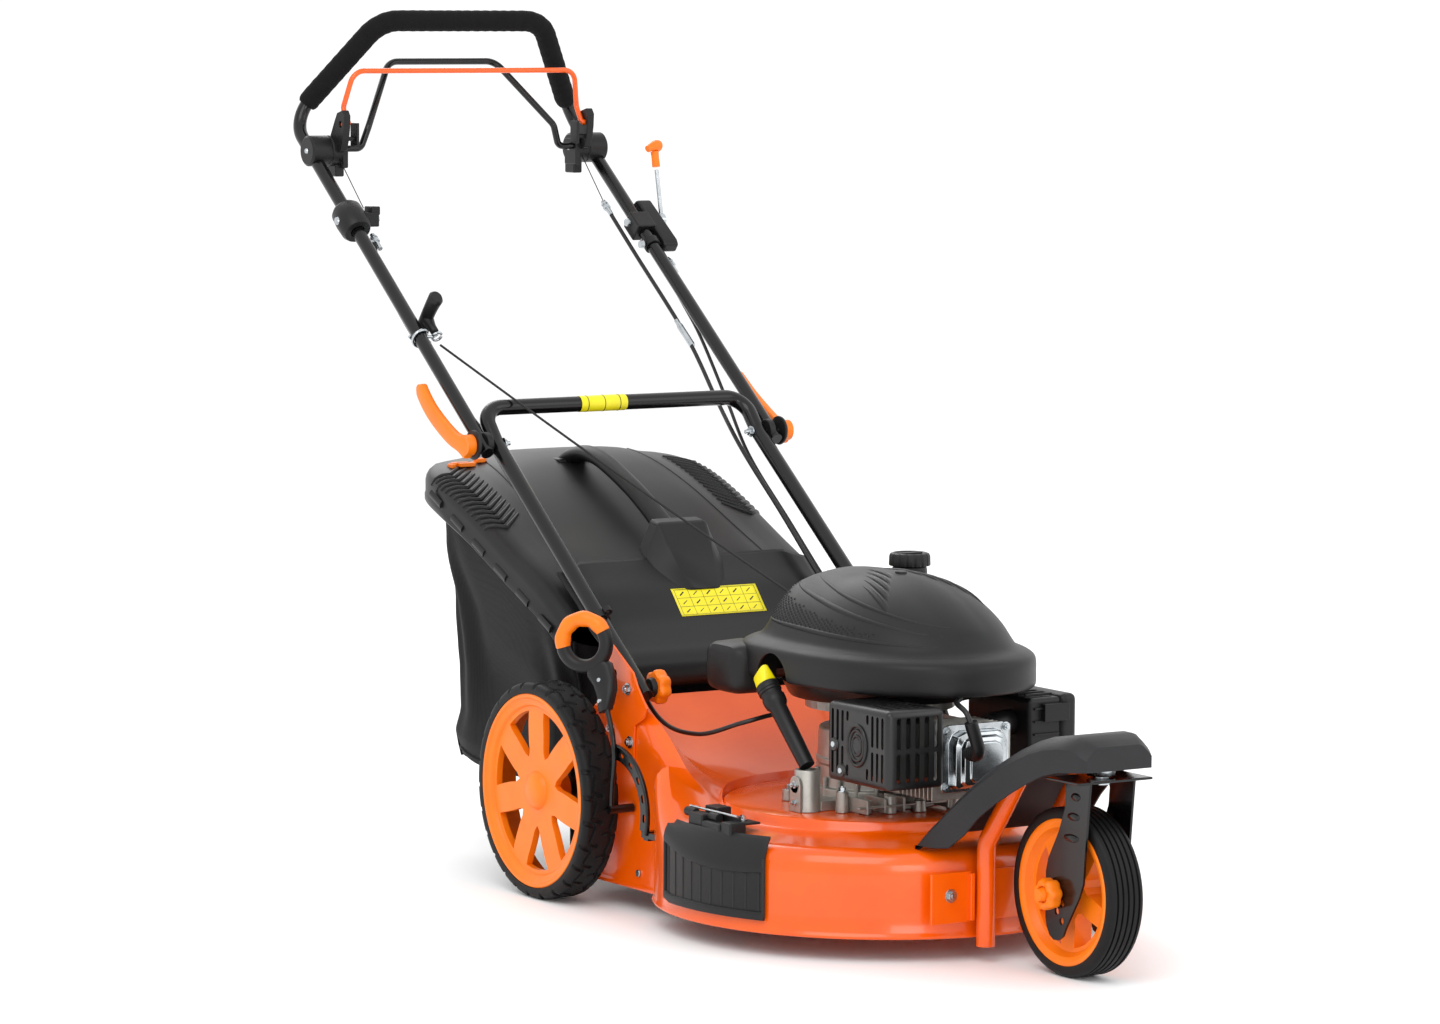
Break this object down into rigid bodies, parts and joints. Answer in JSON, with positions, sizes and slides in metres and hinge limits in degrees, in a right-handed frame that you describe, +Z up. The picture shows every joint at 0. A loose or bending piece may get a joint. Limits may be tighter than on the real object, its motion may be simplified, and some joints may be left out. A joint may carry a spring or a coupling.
{
  "type": "push lawn mower",
  "caption": "Petrol push lawn mower with a swivelling front wheel, round orange deck, folding handle and rear grass bag.",
  "frame": {"origin": "on the ground, under the middle of the machine's overall box", "axes": "+Z up, the front of the mower faces -Y, +X is the operator's left-hand side seen from in front, the symmetry plane of the frame is X = 0"},
  "size_m": [0.577, 1.6661, 1.138],
  "materials": {
    "orange_paint": null,
    "orange_plastic": null,
    "black_paint": null,
    "black_plastic": null,
    "tyre_rubber": null,
    "foam": null,
    "cast_alloy": null,
    "zinc_steel": null,
    "dark_steel": null,
    "yellow_plastic": null,
    "bag_fabric": null,
    "cable_sheath": null,
    "belt_rubber": null
  },
  "bodies": {
    "chassis": {"deck_shell": "orange_paint", "chute_floor": "black_plastic", "rear_apron": "tyre_rubber", "handle_bracket_right": "orange_paint", "handle_bracket_left": "orange_paint", "front_frame": "orange_paint", "front_cover": "black_plastic", "height_quadrant": "black_paint", "crankcase": "cast_alloy", "cylinder": "cast_alloy", "valve_cover": "zinc_steel", "spark_plug_boot": "black_plastic", "muffler": "dark_steel", "muffler_guard": "black_paint", "air_filter_box": "black_plastic", "engine_shroud": "black_plastic", "fuel_tank": "black_plastic", "oil_filler_tube": "black_plastic", "gearbox": "cast_alloy", "drive_belt": "belt_rubber"},
    "crank": {"crankshaft": "zinc_steel", "flywheel": "cast_alloy", "blade": "dark_steel"},
    "drive_shaft": {"drive_shaft": "zinc_steel"},
    "axle_carrier": {"axle_carrier": "dark_steel"},
    "rear_wheel_right": {"rear_rim_right": "orange_plastic", "rear_tyre_right": "tyre_rubber"},
    "rear_wheel_left": {"rear_rim_left": "orange_plastic", "rear_tyre_left": "tyre_rubber"},
    "height_lever": {"height_lever": "black_plastic"},
    "caster": {"caster_fork": "black_paint", "front_axle": "orange_plastic"},
    "front_wheel": {"front_rim": "orange_plastic", "front_tyre": "tyre_rubber"},
    "discharge_cover": {"discharge_cover": "black_plastic"},
    "rear_flap": {"rear_flap": "black_plastic"},
    "grass_bag": {"bag_lid": "black_plastic", "bag_fabric": "bag_fabric"},
    "fuel_cap": {"fuel_cap": "black_plastic"},
    "dipstick": {"dipstick": "yellow_plastic"},
    "lower_handle": {"lower_handle": "black_paint", "leg_knob_right": "orange_plastic", "leg_knob_left": "orange_plastic", "blade_cable": "cable_sheath", "drive_cable": "cable_sheath", "throttle_cable": "cable_sheath", "starter_rope": "cable_sheath"},
    "upper_handle": {"upper_handle": "black_paint", "foam_grip": "foam", "bail_hub_right": "black_plastic", "bail_hub_left": "black_plastic", "throttle_box": "black_plastic", "rope_guide": "zinc_steel", "cable_clamp": "black_plastic"},
    "cam_lever_right": {"cam_lever_right": "orange_plastic"},
    "cam_lever_left": {"cam_lever_left": "orange_plastic"},
    "drive_bail": {"drive_bail": "black_paint"},
    "blade_bail": {"blade_bail": "orange_paint"},
    "throttle_lever": {"throttle_lever": "orange_plastic"},
    "starter_grip": {"starter_grip": "black_plastic"}
  },
  "joints": [
    {"name": "crank_spin", "type": "hinge", "parent": "chassis", "child": "crank", "pos_m": [0, -0.3094, 0.2], "axis": [0, 0, 1], "continuous": true},
    {"name": "drive_shaft_spin", "type": "hinge", "parent": "chassis", "child": "drive_shaft", "pos_m": [0, -0.00018, 0.11606], "axis": [1, 0, 0], "continuous": true},
    {"name": "height_lever_swing", "type": "hinge", "parent": "chassis", "child": "height_lever", "pos_m": [-0.2562, -0.0824, 0.133], "axis": [1, 0, 0], "range_deg": [0, 60]},
    {"name": "axle_carrier_swing", "type": "hinge", "parent": "chassis", "child": "axle_carrier", "pos_m": [0, -0.00018, 0.11606], "axis": [-1, 0, 0], "range_deg": [0, 33]},
    {"name": "rear_wheel_right_spin", "type": "hinge", "parent": "axle_carrier", "child": "rear_wheel_right", "pos_m": [-0.2625, 0.0656, 0.14], "axis": [1, 0, 0], "continuous": true},
    {"name": "rear_wheel_left_spin", "type": "hinge", "parent": "axle_carrier", "child": "rear_wheel_left", "pos_m": [0.2625, 0.0656, 0.14], "axis": [1, 0, 0], "continuous": true},
    {"name": "caster_swivel", "type": "hinge", "parent": "chassis", "child": "caster", "pos_m": [0, -0.7754, 0.262], "axis": [0, 0, 1], "range_deg": [-45, 45]},
    {"name": "front_wheel_spin", "type": "hinge", "parent": "caster", "child": "front_wheel", "pos_m": [0, -0.7314, 0.1016], "axis": [1, 0, 0], "continuous": true},
    {"name": "discharge_cover_hinge", "type": "hinge", "parent": "chassis", "child": "discharge_cover", "pos_m": [-0.273, -0.3264, 0.143], "axis": [0, 1, 0], "range_deg": [0, 55], "stiffness_Nm_per_rad": 0.3, "springref_deg": -17.19},
    {"name": "rear_flap_hinge", "type": "hinge", "parent": "chassis", "child": "rear_flap", "pos_m": [0, 0.0296, 0.2705], "axis": [1, 0, 0], "range_deg": [0, 45], "stiffness_Nm_per_rad": 1.2, "springref_deg": -17.19},
    {"name": "bag_lift", "type": "slide", "parent": "chassis", "child": "grass_bag", "axis": [0, 0.8, 0.6], "range_m": [0, 0.35]},
    {"name": "fuel_cap_lift", "type": "slide", "parent": "chassis", "child": "fuel_cap", "axis": [0, 0, 1], "range_m": [0, 0.03]},
    {"name": "dipstick_lift", "type": "slide", "parent": "chassis", "child": "dipstick", "axis": [-0.0703, 0.6506, 0.7561], "range_m": [0, 0.03]},
    {"name": "lower_handle_swing", "type": "hinge", "parent": "chassis", "child": "lower_handle", "pos_m": [0, -0.0714, 0.2835], "axis": [-1, 0, 0], "range_deg": [-50, 0], "deforming": ["blade_cable", "drive_cable", "throttle_cable", "starter_rope"]},
    {"name": "upper_handle_fold", "type": "hinge", "parent": "lower_handle", "child": "upper_handle", "pos_m": [0, 0.2966, 0.568], "axis": [1, 0, 0], "range_deg": [0, 125], "deforming": ["blade_cable", "drive_cable", "throttle_cable", "starter_rope"]},
    {"name": "cam_lever_right_swing", "type": "hinge", "parent": "upper_handle", "child": "cam_lever_right", "pos_m": [-0.2494, 0.2966, 0.568], "axis": [-1, 0, 0], "range_deg": [-90, 0]},
    {"name": "cam_lever_left_swing", "type": "hinge", "parent": "upper_handle", "child": "cam_lever_left", "pos_m": [0.2494, 0.2966, 0.568], "axis": [-1, 0, 0], "range_deg": [-90, 0]},
    {"name": "drive_bail_swing", "type": "hinge", "parent": "upper_handle", "child": "drive_bail", "pos_m": [0, 0.7556, 0.946], "axis": [1, 0, 0], "range_deg": [-16, 0], "stiffness_Nm_per_rad": 0.6},
    {"name": "blade_bail_swing", "type": "hinge", "parent": "upper_handle", "child": "blade_bail", "pos_m": [0, 0.7376, 0.98], "axis": [1, 0, 0], "range_deg": [-10, 14], "stiffness_Nm_per_rad": 0.5},
    {"name": "throttle_lever_swing", "type": "hinge", "parent": "upper_handle", "child": "throttle_lever", "pos_m": [0.2626, 0.64965, 0.84216], "axis": [1, 0, 0], "range_deg": [-25, 30]},
    {"name": "starter_pull", "type": "slide", "parent": "upper_handle", "child": "starter_grip", "axis": [0, 0.7898, 0.6133], "range_m": [0, 0.1]}
  ],
  "couplings": [
    {"joint": "axle_carrier_swing", "follows": "height_lever_swing", "ratio": 0.55}
  ]
}
